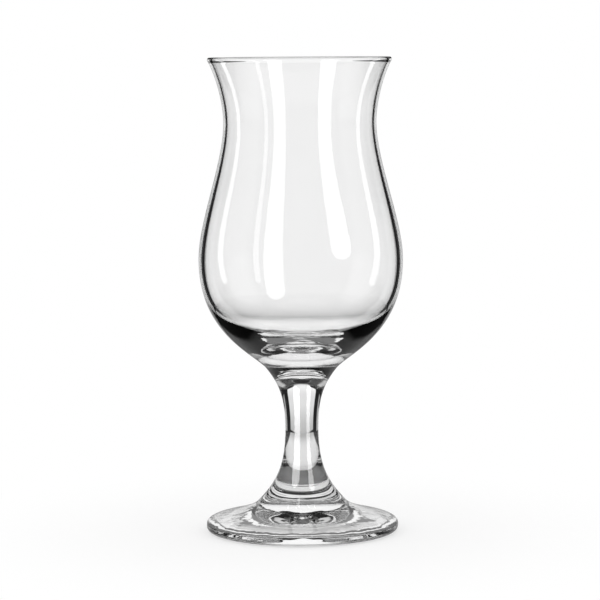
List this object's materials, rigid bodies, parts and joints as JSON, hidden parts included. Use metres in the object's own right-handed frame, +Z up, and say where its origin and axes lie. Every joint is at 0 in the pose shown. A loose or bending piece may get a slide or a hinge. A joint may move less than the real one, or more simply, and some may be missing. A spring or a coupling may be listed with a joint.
{
  "type": "poco grande glass",
  "caption": "Clear footed cocktail glass with a flared rim, drawn-in waist, full round belly, short solid stem and broad round foot, for mixed and frozen drinks.",
  "frame": {"origin": "centre of the foot, on the surface that the glass stands on", "axes": "+Z up along the axis of the glass, from the foot to the rim; X and Y are alike, because the glass is round"},
  "size_m": [0.0778, 0.0778, 0.181],
  "materials": {
    "clear_glass": "polished clear"
  },
  "bodies": {
    "root": {"bowl": "clear_glass", "stem": "clear_glass", "foot": "clear_glass"}
  },
  "joints": []
}
